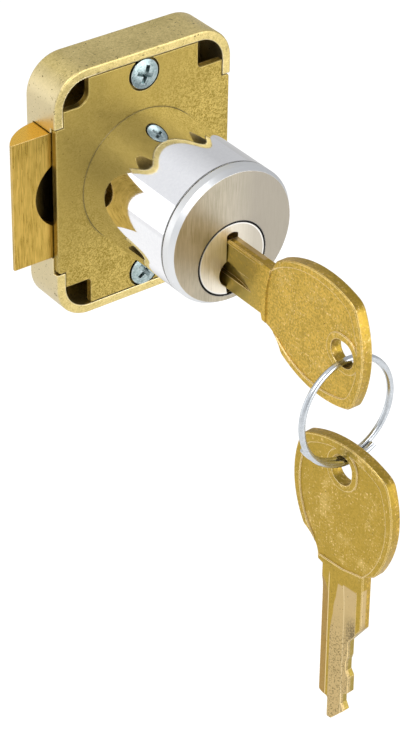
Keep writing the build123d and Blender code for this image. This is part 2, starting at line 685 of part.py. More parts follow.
def make_key():
    """A key lying in the XY plane, with its tip at the origin and its bow towards +X."""
    sheet = blade_outline() + bow_outline()
    nape = sheet.vertices().filter_by(lambda v: v.X > BOW_BASE and abs(v.Y - SHANK_TOP) < TINY)
    sheet = fillet(nape, NAPE_R)
    key = extrude(Plane(origin=(0, 0, -KEY_T / 2)) * sheet, amount=KEY_T)
    key = chamfer(key.edges().group_by(Axis.Z)[-1], KEY_EDGE)
    key = chamfer(key.edges().group_by(Axis.Z)[0], KEY_EDGE)
    sink = extrude(bow_field(), amount=BOW_SINK + 1)
    key -= Pos(0, 0, KEY_T / 2 - BOW_SINK) * sink
    key -= Pos(0, 0, -KEY_T / 2 - 1) * sink
    key -= Pos(HOLE_U, HOLE_V, -KEY_T) * extrude(slot_outline(), amount=2 * KEY_T)
    return key - blade_flat() - edge_bevel() - blade_relief() - side_groove()


def key_in_lock_plane():
    return Plane(origin=(0, KEY_TIP_Y, KEY_Z), x_dir=(0, -1, 0), z_dir=(-1, 0, 0))


def spare_key_plane():
    """The second key hangs by the end of its hole from the bottom of the ring."""
    hang_u = HOLE_U + HOLE_L / 2 - WIRE_R - SPARE_SEAT
    hang = Location((0, RING_FOOT_Y, RING_FOOT_Z), (SPARE_LEAN, 0, 0)) * Rot(0, 0, SPARE_YAW)
    upright = Plane(origin=(0, 0, 0), x_dir=(0, 0, 1), z_dir=(1, 0, 0)).location
    return hang * upright * Location((-hang_u, SPARE_SIDE - HOLE_V, 0))


def make_ring():
    """A ring of wire that overlaps itself along the bottom, with its layers side by side."""
    turns = 1 + (RING_LAP_RIGHT + RING_LAP_LEFT) / 360
    path = Helix(pitch=RING_PITCH, height=RING_PITCH * turns, radius=RING_R)
    section = Plane(origin=path @ 0, z_dir=path % 0) * Circle(WIRE_R)
    coil = Rot(0, 0, 90 - RING_LAP_RIGHT) * sweep(section, path=path, is_frenet=True)
    rise_to_top = RING_PITCH * (RING_LAP_RIGHT + 180) / 360
    hanging = Location((0, -rise_to_top, -RING_R), (-90, 0, 0))
    return Location((0, RING_TOP_Y, RING_TOP_Z), (-RING_LEAN, 0, 0)) * hanging * coil


def main():
    os.makedirs("parts", exist_ok=True)
    key = make_key()
    screws = [make_plate_screw(side, turn) for side, turn in zip((1, -1), SCREW_TURNS)]
    nodes = {
        "case": make_case(),
        "cover_plate": make_cover_plate(),
        "plate_screws": Compound(screws),
        "barrel_body": make_barrel_body(),
        "barrel_sleeve": make_sleeve(),
        "front_cap": make_front_cap(),
        "chamber_strip": make_chamber_strip(),
        "barrel_screws": Compound([make_barrel_screw(side) for side in (-1, 1)]),
        "plug": make_plug(),
        "drive_cam": make_drive_cam(),
        "drive_stud": make_drive_stud(),
        "cam_screw": make_cam_screw(),
        "latch_bolt": make_bolt(),
        "bolt_spring_upper": make_bolt_spring(1),
        "bolt_spring_lower": make_bolt_spring(-1),
        "key_in_lock": key_in_lock_plane() * key,
        "spare_key": spare_key_plane() * key,
        "key_ring": make_ring(),
    }
    for index in range(PIN_COUNT):
        nodes[f"key_pin_{index + 1}"] = make_key_pin(index)
        nodes[f"driver_pin_{index + 1}"] = make_driver_pin(index)
        nodes[f"pin_spring_{index + 1}"] = make_pin_spring(index)
    for name, shape in nodes.items():
        export_step(shape, f"parts/{name}.step")


main()
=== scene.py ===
"""Looks for the spring bolt lock: brass case, plate, bolt and keys, a polished barrel and a wire ring.

Metres. The barrel's axis runs along Y with its nose towards -Y, and the bolt shoots towards -X.
"""
import math

import bpy
from mathutils import Euler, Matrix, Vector


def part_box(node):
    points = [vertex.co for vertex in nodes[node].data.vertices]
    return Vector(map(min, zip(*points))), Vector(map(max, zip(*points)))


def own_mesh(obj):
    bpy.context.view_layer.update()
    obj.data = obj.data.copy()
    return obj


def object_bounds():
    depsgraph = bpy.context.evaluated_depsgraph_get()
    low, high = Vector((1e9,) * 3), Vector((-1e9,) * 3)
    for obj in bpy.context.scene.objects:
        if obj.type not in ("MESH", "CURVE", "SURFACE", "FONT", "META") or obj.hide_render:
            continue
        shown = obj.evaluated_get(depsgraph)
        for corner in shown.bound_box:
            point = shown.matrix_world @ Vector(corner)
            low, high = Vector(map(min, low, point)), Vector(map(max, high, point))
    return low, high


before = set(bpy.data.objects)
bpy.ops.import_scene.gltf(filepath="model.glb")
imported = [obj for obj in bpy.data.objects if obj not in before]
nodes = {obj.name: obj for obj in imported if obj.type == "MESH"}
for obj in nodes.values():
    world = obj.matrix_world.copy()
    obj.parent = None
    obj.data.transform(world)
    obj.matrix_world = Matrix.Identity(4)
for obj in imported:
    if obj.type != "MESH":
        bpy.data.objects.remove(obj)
cad_low, cad_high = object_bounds()
bpy.ops.object.select_all(action="DESELECT")

# Camera
# The photograph's own view: the lock is seen from above its upper left, from about 39 cm away through a
# long lens.
MM = 0.001
CAMERA_PLACE = (-195.85 * MM, -275.17 * MM, 196.04 * MM)
CAMERA_TURN = (55.643, -0.899, -36.492)
CAMERA_LENS = 127.13
CAMERA_NEAR = 0.01
CAMERA_FAR = 20.0

camera = bpy.data.objects.new("camera", bpy.data.cameras.new("camera"))
camera.location = CAMERA_PLACE
camera.rotation_euler = [math.radians(angle) for angle in CAMERA_TURN]
camera.data.lens = CAMERA_LENS
camera.data.clip_start = CAMERA_NEAR
camera.data.clip_end = CAMERA_FAR
bpy.context.scene.collection.objects.link(camera)
bpy.context.scene.camera = camera
bpy.context.scene.view_settings.view_transform = "Standard"


# Studio
# A pale floor well below the hanging keys, a white surround and three soft lamps. The camera sees floor and
# surround as white. The metal mirrors both a little duller, the floor most of all at its back right.
def add_node(tree, kind, inputs=None, **settings):
    """Adds a shader node. An input is a value, or the socket that feeds it."""
    made = tree.nodes.new("ShaderNode" + kind)
    for name, value in settings.items():
        setattr(made, name, value)
    for name, value in (inputs or {}).items():
        if isinstance(value, bpy.types.NodeSocket):
            tree.links.new(value, made.inputs[name])
        else:
            made.inputs[name].default_value = value
    return made


def grey(level):
    return (level, level, level, 1.0)


WHITE = grey(1.0)


def parts_of(tree, vector):
    """A vector's three parts."""
    return add_node(tree, "SeparateXYZ", {"Vector": vector}).outputs


def reach_along(tree, vector, way):
    """How far a vector reaches along a way."""
    return add_node(tree, "VectorMath", {0: vector, 1: way}, operation="DOT_PRODUCT").outputs["Value"]


def fade(tree, value, start, end, first=0.0, last=1.0):
    """Goes from first to last while the value goes from start to end, and no further."""
    return add_node(tree, "MapRange", {"Value": value, "From Min": start, "From Max": end,
                                       "To Min": first, "To Max": last}).outputs[0]


def all_of(tree, *masks):
    """Where every mask is on."""
    whole = masks[0]
    for mask in masks[1:]:
        whole = add_node(tree, "Math", {0: whole, 1: mask}, operation="MULTIPLY").outputs[0]
    return whole


def level_mix(tree, share, under, over):
    """One level turning into another by a share."""
    return add_node(tree, "Mix", {0: share, 2: under, 3: over}, data_type="FLOAT").outputs[0]


FLOOR_DROP = 0.18
FLOOR_SIZE = 12.0
FLOOR_TONE = 0.42

# The floor's glow is FLOOR_SHOWN for the camera and FLOOR_LIFT for all else, and it falls off at the back
# right. In this and every pair of values, a change begins at the first and is complete at the second.
FLOOR_SHOWN = 0.77
FLOOR_LIFT = 0.69
FLOOR_BACK_RIGHT_LIFT = 0.3
FLOOR_RIGHT = (-0.02, 0.15)
FLOOR_BACK = (0.0, 0.15)

bpy.ops.mesh.primitive_plane_add(size=FLOOR_SIZE, location=(0, 0, cad_low.z - FLOOR_DROP))
floor = bpy.context.object
floor.name = "studio_floor"
floor_paint = bpy.data.materials.new("floor_paint")
floor_paint.use_nodes = True
floor_tree = floor_paint.node_tree
floor_tree.nodes.clear()
floor_matt = add_node(floor_tree, "BsdfDiffuse", {"Color": grey(FLOOR_TONE)})
floor_place = parts_of(floor_tree, add_node(floor_tree, "TexCoord").outputs["Object"])
floor_back_right = all_of(floor_tree, fade(floor_tree, floor_place["X"], *FLOOR_RIGHT),
                          fade(floor_tree, floor_place["Y"], *FLOOR_BACK))
floor_mirrored = fade(floor_tree, floor_back_right, 0, 1, FLOOR_LIFT, FLOOR_BACK_RIGHT_LIFT)
floor_rays = add_node(floor_tree, "LightPath")
floor_level = level_mix(floor_tree, floor_rays.outputs["Is Camera Ray"], floor_mirrored, FLOOR_SHOWN)
floor_glow = add_node(floor_tree, "Emission", {"Color": WHITE, "Strength": floor_level})
floor_sum = add_node(floor_tree, "AddShader", {0: floor_matt.outputs[0], 1: floor_glow.outputs[0]})
add_node(floor_tree, "OutputMaterial", {"Surface": floor_sum.outputs[0]})
floor.data.materials.append(floor_paint)

# The metal mirrors a surround that is brighter towards the back left and above.
SKY_BRIGHT = 0.94
SKY_DULL = 0.62
SKY_BRIGHT_WAY = (-0.7, 0.35, 0.5)
SKY_RISE = (0.13, 0.68)
SKY_TINT = (0.97, 0.98, 1.0, 1.0)
SKY_FILL = 0.6

world = bpy.data.worlds.new("studio_surround")
bpy.context.scene.world = world
world.use_nodes = True
sky = world.node_tree
sky.nodes.clear()
sky_way = add_node(sky, "TexCoord").outputs["Generated"]
sky_level = fade(sky, reach_along(sky, sky_way, SKY_BRIGHT_WAY), *SKY_RISE, SKY_DULL, SKY_BRIGHT)
sky_rays = add_node(sky, "LightPath")
sky_fill = add_node(sky, "Background", {"Color": WHITE, "Strength": SKY_FILL})
sky_mirrored = add_node(sky, "Background", {"Color": SKY_TINT, "Strength": sky_level})
sky_light = add_node(sky, "MixShader", {0: sky_rays.outputs["Is Glossy Ray"], 1: sky_fill.outputs[0],
                                        2: sky_mirrored.outputs[0]})
sky_white = add_node(sky, "Background", {"Color": WHITE, "Strength": 1.0})
sky_final = add_node(sky, "MixShader", {0: sky_rays.outputs["Is Camera Ray"], 1: sky_light.outputs[0],
                                        2: sky_white.outputs[0]})
add_node(sky, "OutputWorld", {"Surface": sky_final.outputs[0]})

LAMPS = {
    "lamp_back_left": {"place": (-0.62, 0.62, 0.1), "size": 0.55, "power": 0.6},
    "lamp_top_left": {"place": (-0.45, -0.25, 0.75), "size": 0.5, "power": 3.0},
    "lamp_front": {"place": (0.35, -0.9, 0.15), "size": 0.6, "power": 3.5},
}
for name, lamp in LAMPS.items():
    light = bpy.data.lights.new(name, "AREA")
    light.size = lamp["size"]
    light.energy = lamp["power"]
    lamp_object = bpy.data.objects.new(name, light)
    lamp_object.location = lamp["place"]
    aim = -lamp_object.location.normalized()
    lamp_object.rotation_euler = aim.to_track_quat("-Z", "Y").to_euler()
    bpy.context.scene.collection.objects.link(lamp_object)


# Case
# A shallow cup cast in brass and lightly tumbled: soft edges, bright with wear and a painted highlight,
# fine pits and a speckled skin, and painted shade in its corners. The bolt's side is painted paler as a
# highlight. Four screws through the corners fix the lock to a door.
SKIN_ROUGHNESS = 0.65
BLOTCH_SHARE = 0.4
TONE_LEVELS = (0.34, 0.66)
GLOSS_LEVELS = (0.3, 0.7)
PIT_LEVEL = 0.72
PIT_WALL = 0.04
PIT_SPREAD = 0.1
PIT_TONE = 0.3
PIT_DEPTH = 1.5
EDGE_WEAR_AND_HIGHLIGHT_FLATNESS = (0.995, 0.9)
NOOK_REACH = 0.6 * MM
NOOK_LEVELS = (0.75, 0.3)
NOOK_SHADE_TONE = 0.15
SHADER_SAMPLES = 6


def noise(tree, place, scale, detail, roughness):
    """Cloudy grain. Its scale is how many patches fit in one unit of length."""
    return add_node(tree, "TexNoise", {"Vector": place, "Scale": scale, "Detail": detail,
                                       "Roughness": roughness}).outputs[0]


def paint(tree, under, share, tint):
    """Lays a tint over a colour by a mask."""
    return add_node(tree, "Mix", {0: share, 6: under, 7: (*tint, 1)}, data_type="RGBA").outputs[2]


def darkened(tint, tone):
    return tuple(part * tone for part in tint)


def metal(name, light, dark, edge, grain=0.3, speck=0.4, stretch=(1, 1, 1), blotch=4.0, rough=(0.3, 0.45),
          relief=0.01, pits=0.0, pit_size=0.3, nook_shade=0.6, edge_reach=0.15, edge_share=0.8, marks=None,
          without_wear_and_highlight=None):
    """A worn metal finish: edges bright with wear and a painted highlight, and painted shade in its corners.

    Grain, blotches, relief, pits and the reach of the bright edges are millimetres. speck is the share of
    sharp grain, stretch draws the grain out to brush lines, nook_shade is how dark the painted shade
    in corners and recesses is, marks adds a piece's own marks, wear and painted light, and
    without_wear_and_highlight masks edges that stay dull.
    """
    made = bpy.data.materials.new(name)
    made.use_nodes = True
    tree = made.node_tree
    tree.nodes.clear()
    place = add_node(tree, "TexCoord").outputs
    brushed = add_node(tree, "Mapping", {"Vector": place["Object"], "Scale": stretch}).outputs[0]
    fine = noise(tree, brushed, 1 / (grain * MM), detail=3.0, roughness=SKIN_ROUGHNESS)
    chips = add_node(tree, "TexVoronoi", {"Vector": brushed, "Scale": 1 / (grain * MM)})
    sharp = add_node(tree, "SeparateColor", {"Color": chips.outputs["Color"]}).outputs[0]
    broad = noise(tree, place["Object"], 1 / (blotch * MM), detail=5.0, roughness=SKIN_ROUGHNESS)
    skin = level_mix(tree, BLOTCH_SHARE, level_mix(tree, speck, fine, sharp), broad)
    colour = paint(tree, (*dark, 1), fade(tree, skin, *TONE_LEVELS), light)
    if marks:
        colour = marks(tree, place, colour)

    height = fine
    if pits:
        blemish = noise(tree, place["Object"], 1 / (pit_size * MM), detail=2.0, roughness=0.5)
        pit_start = PIT_LEVEL - PIT_SPREAD * pits
        hole = fade(tree, blemish, pit_start, pit_start + PIT_WALL)
        colour = paint(tree, colour, hole, darkened(dark, PIT_TONE))
        height = add_node(tree, "Math", {0: hole, 1: -PIT_DEPTH, 2: fine},
                          operation="MULTIPLY_ADD").outputs[0]

    # Bright edges: wear, and a painted highlight where the rounded normal leaves the true one.
    rounded = add_node(tree, "Bevel", {"Radius": edge_reach * MM}, samples=SHADER_SAMPLES).outputs[0]
    flatness = reach_along(tree, rounded, add_node(tree, "NewGeometry").outputs["Normal"])
    wear_and_highlight_share = fade(tree, without_wear_and_highlight(tree, place), 0, 1, edge_share, 0) if without_wear_and_highlight else edge_share
    colour = paint(tree, colour, fade(tree, flatness, *EDGE_WEAR_AND_HIGHLIGHT_FLATNESS, 0, wear_and_highlight_share), edge)
    # Painted shade: corners and recesses are darkened where little of the surround reaches them.
    if nook_shade:
        nook = add_node(tree, "AmbientOcclusion", {"Distance": NOOK_REACH}, samples=SHADER_SAMPLES)
        darkening = fade(tree, nook.outputs["AO"], *NOOK_LEVELS, 0, nook_shade)
        colour = paint(tree, colour, darkening, darkened(dark, NOOK_SHADE_TONE))

    bump = add_node(tree, "Bump", {"Height": height, "Distance": relief * MM, "Normal": rounded})
    shader = add_node(tree, "BsdfPrincipled", {"Base Color": colour, "Metallic": 1.0,
                                               "Roughness": fade(tree, skin, *GLOSS_LEVELS, *rough),
                                               "Normal": bump.outputs[0]})
    add_node(tree, "OutputMaterial", {"Surface": shader.outputs[0]})
    return made


def dress(finish, *names):
    """Gives CAD nodes a finish."""
    for name in names:
        nodes[name].material_slots[0].material = finish


BOLT_SIDE_HIGHLIGHT_TINT = (0.61, 0.53, 0.36)
BOLT_SIDE_HIGHLIGHT_SHARE = 0.7
BOLT_SIDE_HIGHLIGHT_TURN = (-0.5, -0.95)
SCAR_TINT = (0.2, 0.15, 0.05)
SCAR_BAND = (2.6 * MM, 1.0 * MM)
SCAR_LEVELS = (0.6, 0.68)


def case_marks(tree, place, colour):
    """The bolt's side is painted paler as a highlight, and dark casting scars run in a band just behind the
    rim's front edge.
    """
    turned = parts_of(tree, place["Normal"])["X"]
    # Painted highlight: faces turned to the bolt's side are painted paler.
    colour = paint(tree, colour, fade(tree, turned, *BOLT_SIDE_HIGHLIGHT_TURN, 0, BOLT_SIDE_HIGHLIGHT_SHARE), BOLT_SIDE_HIGHLIGHT_TINT)
    depth = parts_of(tree, place["Object"])["Y"]
    scars = noise(tree, place["Object"], scale=0.9 / MM, detail=5.0, roughness=0.7)
    scarred = all_of(tree, fade(tree, depth, *SCAR_BAND), fade(tree, scars, *SCAR_LEVELS))
    return paint(tree, colour, scarred, SCAR_TINT)


case_brass = metal("case_brass", light=(0.84, 0.68, 0.3), dark=(0.54, 0.43, 0.15), edge=(0.93, 0.82, 0.52),
                   grain=0.24, speck=0.28, blotch=4.0, rough=(0.32, 0.45), relief=0.01, pits=0.5,
                   pit_size=0.4, nook_shade=0.3, edge_reach=0.35, marks=case_marks)
dress(case_brass, "case")

# Cover plate
# Stamped brass sheet let in flush with the case's rim and held there by two screws. Its face is grainy,
# and painted shade darkens it towards the upper left.
PLATE_SHADE_TINT = (0.41, 0.3, 0.075)
PLATE_SHADE_SHARE = 0.75
PLATE_SHADE_WAY = (1, 0, -1)
PLATE_SHADE_SPAN = (-16.0 * MM, 2.0 * MM)


def plate_shade(tree, place, colour):
    """Painted shade: an even olive darkening that thins out towards the plate's lower right."""
    # Painted shade, darkest at the upper left.
    down_right = reach_along(tree, place["Object"], PLATE_SHADE_WAY)
    return paint(tree, colour, fade(tree, down_right, *PLATE_SHADE_SPAN, PLATE_SHADE_SHARE, 0), PLATE_SHADE_TINT)


plate_brass = metal("plate_brass", light=(0.6, 0.45, 0.13), dark=(0.28, 0.2, 0.035),
                    edge=(0.75, 0.62, 0.3), grain=0.19, speck=0.6, blotch=3.0, rough=(0.32, 0.5),
                    relief=0.01, pits=0.25, pit_size=0.3, nook_shade=0.65, edge_reach=0.12, marks=plate_shade)
dress(plate_brass, "cover_plate")

# Screws
# Cross-head steel screws, zinc plated with a cool blue tint. Two hold the plate on the case, two hold the
# barrel on the plate from behind, and one holds the cam.
zinc = metal("zinc", light=(0.5, 0.6, 0.61), dark=(0.24, 0.33, 0.33), edge=(0.8, 0.86, 0.86), grain=0.25,
             speck=0.4, blotch=1.5, rough=(0.25, 0.4), relief=0.006, nook_shade=1.0, edge_reach=0.1)
dress(zinc, "plate_screws", "barrel_screws", "cam_screw")

# Barrel body and chamber strip
# Brass, turned and bored for the plug and the pins. The strip closes the pin chambers, and the sleeve
# hides both but for their ends.
body_brass = metal("body_brass", light=(0.6, 0.46, 0.2), dark=(0.42, 0.31, 0.12), edge=(0.7, 0.56, 0.3),
                   grain=0.3, stretch=(1, 6, 1), blotch=4.0, rough=(0.25, 0.35), relief=0.004)
dress(body_brass, "barrel_body", "chamber_strip")

# Barrel sleeve
# A thin tube drawn over the barrel's body, chromed and polished to a mirror. A painted shadow line shows
# where it ends behind the cap.
SLEEVE_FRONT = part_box("barrel_sleeve")[0].y
SEAM_SHADE_TINT = (0.2, 0.2, 0.19)
SEAM_SHADE_LINE = (SLEEVE_FRONT + 0.22 * MM, SLEEVE_FRONT + 0.15 * MM)


def sleeve_seam_shade(tree, place, colour):
    """A painted shadow line at the sleeve's front end, in the seam behind the cap."""
    # Painted shadow in the seam.
    return paint(tree, colour, fade(tree, parts_of(tree, place["Object"])["Y"], *SEAM_SHADE_LINE), SEAM_SHADE_TINT)


mirror = metal("mirror", light=(0.89, 0.89, 0.9), dark=(0.84, 0.84, 0.86), edge=(0.95, 0.95, 0.95),
               grain=0.5, speck=0.0, blotch=8.0, rough=(0.04, 0.07), relief=0.0005, nook_shade=0.0,
               edge_reach=0.05, marks=sleeve_seam_shade)
dress(mirror, "barrel_sleeve")

# Front cap
# A steel cup pressed over the barrel's front. It is faced with fine upright brush lines, and its edge is
# bevelled bright. Painted shade darkens it towards the right, and a painted shadow line rings the plug's
# hole.
PLUG_LOW, PLUG_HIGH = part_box("plug")
PLUG_MIDDLE = (PLUG_LOW.z + PLUG_HIGH.z) / 2
PLUG_REACH = (PLUG_HIGH.x - PLUG_LOW.x) / 2
NOSE_SHADE_SPAN = (-2.0 * MM, 4.0 * MM)
NOSE_SHADE_SHARE = 0.8
CAP_SHADE_TINT = (0.38, 0.345, 0.29)
CAP_BEVEL_TINT = (0.75, 0.76, 0.77)
CAP_BEVEL_TURN = (-0.97, -0.9)
CAP_HOLE_SHADE_TINT = (0.02, 0.02, 0.02)
CAP_HOLE_SHADE_LINE = (0.3 * MM, 0.2 * MM)


def from_plug_rim(tree, place):
    """How far a point is outside the plug's rim, in metres, and below nought inside it."""
    moved = add_node(tree, "VectorMath", {0: place["Object"], 1: (0, 0, -PLUG_MIDDLE)})
    flat = add_node(tree, "VectorMath", {0: moved.outputs[0], 1: (1, 0, 1)}, operation="MULTIPLY")
    reach = add_node(tree, "VectorMath", {0: flat.outputs[0]}, operation="LENGTH").outputs["Value"]
    return add_node(tree, "Math", {0: reach, 1: PLUG_REACH}, operation="SUBTRACT").outputs[0]


def shade_right(tree, place, colour, tint):
    """Painted shade: the faced steel is darker towards the right of the nose."""
    across = parts_of(tree, place["Object"])["X"]
    return paint(tree, colour, fade(tree, across, *NOSE_SHADE_SPAN, 0, NOSE_SHADE_SHARE), tint)


def cap_marks(tree, place, colour):
    """Painted shade towards the right, a bright turned bevel, and a painted shadow line round the plug's
    hole.
    """
    turned = parts_of(tree, place["Normal"])["Y"]
    # Painted shade towards the right of the nose.
    colour = shade_right(tree, place, colour, CAP_SHADE_TINT)
    colour = paint(tree, colour, fade(tree, turned, *CAP_BEVEL_TURN), CAP_BEVEL_TINT)
    # Painted shadow: a dark line in the gap round the plug's hole.
    return paint(tree, colour, fade(tree, from_plug_rim(tree, place), *CAP_HOLE_SHADE_LINE), CAP_HOLE_SHADE_TINT)


brushed_steel = metal("brushed_steel", light=(0.61, 0.55, 0.44), dark=(0.38, 0.34, 0.25),
                      edge=(0.85, 0.85, 0.84), grain=0.12, speck=0.2, stretch=(1, 1, 0.04), blotch=7.0,
                      rough=(0.34, 0.46), relief=0.003, nook_shade=0.0, edge_reach=0.12, marks=cap_marks)
dress(brushed_steel, "front_cap")

# Plug
# Turned steel, faced with the cap, so that the same brush lines run over both. The walls of its keyway are
# painted bright yellow as painted light. Painted shade darkens it towards the right, and its rim has a
# painted highlight line inside a painted shadow line.
PLUG_SHADE_TINT = (0.46, 0.42, 0.35)
KEYWAY_LIGHT_TINT = (0.95, 0.78, 0.34)
KEYWAY_LIGHT_TURN = (-0.6, -0.4)
PLUG_RIM_HIGHLIGHT_TINT = (0.9, 0.88, 0.83)
PLUG_RIM_HIGHLIGHT_LINE = (-0.34 * MM, -0.26 * MM)
PLUG_EDGE_SHADE_TINT = (0.03, 0.03, 0.03)
PLUG_EDGE_SHADE_LINE = (-0.16 * MM, -0.08 * MM)


def plug_marks(tree, place, colour):
    """Painted shade towards the right, keyway walls painted bright yellow as light, a painted highlight line
    just inside the plug's edge, and a painted shadow line on that edge.
    """
    outward = from_plug_rim(tree, place)
    turned = parts_of(tree, place["Normal"])["Y"]
    # Painted shade towards the right.
    colour = shade_right(tree, place, colour, PLUG_SHADE_TINT)
    # Painted light: the keyway's walls are painted bright yellow.
    colour = paint(tree, colour, fade(tree, turned, *KEYWAY_LIGHT_TURN), KEYWAY_LIGHT_TINT)
    # Painted highlight: a bright line just inside the plug's edge.
    colour = paint(tree, colour, fade(tree, outward, *PLUG_RIM_HIGHLIGHT_LINE), PLUG_RIM_HIGHLIGHT_TINT)
    # Painted shadow: a dark line on the plug's edge, in the gap round it.
    return paint(tree, colour, fade(tree, outward, *PLUG_EDGE_SHADE_LINE), PLUG_EDGE_SHADE_TINT)


plug_steel = metal("plug_steel", light=(1.0, 0.93, 0.8), dark=(0.76, 0.7, 0.57), edge=(0.85, 0.83, 0.78),
                   grain=0.12, speck=0.2, stretch=(1, 1, 0.04), blotch=5.0, rough=(0.34, 0.48),
                   relief=0.003, nook_shade=0.15, edge_reach=0.1, marks=plug_marks)
dress(plug_steel, "plug")

# Drive cam and stud
# Plain steel, punched and left as it came from the press. The cam sits on the plug's square end under its
# screw, and its round stud draws the bolt.
cam_steel = metal("cam_steel", light=(0.45, 0.45, 0.44), dark=(0.26, 0.26, 0.25), edge=(0.62, 0.62, 0.6),
                  grain=0.3, blotch=2.0, rough=(0.3, 0.45), relief=0.006)
dress(cam_steel, "drive_cam", "drive_stud")

# Pins and springs
# Turned brass pins in four chambers: a key pin on the blade and a driver pin over it. A spring of steel wire
# presses each pair down.
PIN_STACKS = (1, 2, 3, 4)

pin_brass = metal("pin_brass", light=(0.7, 0.55, 0.24), dark=(0.5, 0.38, 0.14), edge=(0.8, 0.66, 0.36),
                  grain=0.2, stretch=(1, 1, 5), blotch=2.0, rough=(0.2, 0.32), relief=0.003,
                  edge_reach=0.08)
spring_steel = metal("spring_steel", light=(0.6, 0.6, 0.6), dark=(0.36, 0.36, 0.37), edge=(0.7, 0.7, 0.7),
                     grain=0.2, blotch=2.0, rough=(0.2, 0.35), relief=0.002, edge_reach=0.04)
for stack in PIN_STACKS:
    dress(pin_brass, f"key_pin_{stack}", f"driver_pin_{stack}")
    dress(spring_steel, f"pin_spring_{stack}")

# Latch bolt
# Drawn brass bar with upright brush lines, sawn at its top, which is painted brighter and more orange as a
# highlight. Painted shade darkens the floor of its round pocket. It slides in the case's mouth, and two
# springs of steel wire push it out.
BOLT_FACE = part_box("latch_bolt")[0].y
POCKET_SHADE_TINT = (0.09, 0.065, 0.02)
POCKET_DEPTH = (BOLT_FACE + 0.3 * MM, BOLT_FACE + 0.5 * MM)
POCKET_TURN = (-0.8, -0.95)
SAWN_AND_HIGHLIGHT_TINT = (0.98, 0.58, 0.075)
SAWN_AND_HIGHLIGHT_TURN = (0.6, 0.8)


def bolt_marks(tree, place, colour):
    """The bar's sawn top end is painted brighter and more orange as a highlight, and painted shade darkens
    the floor of its round pocket.
    """
    turned = parts_of(tree, place["Normal"])
    depth = parts_of(tree, place["Object"])["Y"]
    # Painted shade on the floor of the round pocket.
    pocket_shade = all_of(tree, fade(tree, depth, *POCKET_DEPTH), fade(tree, turned["Y"], *POCKET_TURN))
    colour = paint(tree, colour, pocket_shade, POCKET_SHADE_TINT)
    # Sawn top end, with a painted highlight that makes it brighter and more orange.
    return paint(tree, colour, fade(tree, turned["Z"], *SAWN_AND_HIGHLIGHT_TURN), SAWN_AND_HIGHLIGHT_TINT)


bolt_brass = metal("bolt_brass", light=(0.68, 0.46, 0.11), dark=(0.36, 0.24, 0.04), edge=(0.85, 0.62, 0.3),
                   grain=0.16, speck=0.35, stretch=(1, 1, 0.07), blotch=6.0, rough=(0.24, 0.38),
                   relief=0.012, nook_shade=0.8, edge_reach=0.15, marks=bolt_marks)
dress(bolt_brass, "latch_bolt")
dress(spring_steel, "bolt_spring_upper", "bolt_spring_lower")

# The two springs shorten by the bolt's travel as the bolt is drawn in. Here each gets a mesh of its own.
for name in ("bolt_spring_upper", "bolt_spring_lower"):
    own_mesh(nodes[name])

# Keys
# Stamped brass blanks: satin bows with bright edges, rubbed and given a painted highlight, sheared sides
# and blades milled paler. The back is painted darker as shade, and painted highlights line the blade's
# ridge and the bevel's top edge; the bevel itself is painted darker as shade. One is in the plug and one
# hangs on the ring.

# Places on a key are millimetres in its own frame: u along it from the tip, v across it and w through it.
KEY_THICK = 1.9
FRONT_HALF = (-0.1, 0.1)
BACK_HALF = (0.1, -0.1)

MILLED_TINT = (0.59, 0.435, 0.2)
MILLED_END = 28.0
MILLED_SPAN = (MILLED_END, MILLED_END - 0.2)
MILLED_DEPTH = (0.02 - KEY_THICK / 2, 0.05 - KEY_THICK / 2)
RUNOUT_SLOPE = -0.142
RUNOUT_LINE = (-4.55, -4.45)
RUNOUT_END = (26.7, 26.5)
RUNOUT_LOW = (-2.1, -2.0)
RUNOUT_HIGH = (3.1, 3.0)
RIDGE_HIGHLIGHT_TINT = (0.84, 0.68, 0.38)
RIDGE_MIDDLE = 0.35
RIDGE_LOW = (RIDGE_MIDDLE - 0.1, RIDGE_MIDDLE)
RIDGE_HIGH = (RIDGE_MIDDLE + 0.1, RIDGE_MIDDLE)
CUTS_TINT = (0.57, 0.42, 0.19)
CUTS_TURN = (0.7, 0.5)
CUTS_END = (20.8, 20.4)
CUTS_FOOT = (0.2, 0.5)
STAIN_TINT = (0.24, 0.18, 0.07)
STAIN_END = (21.0, 16.0)
STAIN_LEVELS = (0.51, 0.62)
DEEP_STAIN_TINT = (0.2, 0.15, 0.07)
DEEP_STAIN_START = (13.0, 17.5)
DEEP_STAIN_END = (22.0, 19.5)
DEEP_STAIN_FOOT = (0.3, 1.8)
DEEP_STAIN_LEVELS = (0.34, 0.56)
BEVEL_SHADE_TINT = (0.4, 0.24, 0.04)
BEVEL_TOP = -2.6
BEVEL_START = (BEVEL_TOP + 0.05, BEVEL_TOP - 0.05)
BEVEL_EDGE_HIGHLIGHT_TINT = (0.95, 0.76, 0.44)
BEVEL_EDGE_LOW = (BEVEL_TOP - 0.1, BEVEL_TOP)
BEVEL_EDGE_HIGH = (BEVEL_TOP + 0.12, BEVEL_TOP)
BEVEL_EDGE_SPAN = (MILLED_END, MILLED_END - 1.0)


def either(tree, one, other):
    """Where one of two masks is on."""
    return add_node(tree, "Math", {0: one, 1: other}, operation="MAXIMUM").outputs[0]


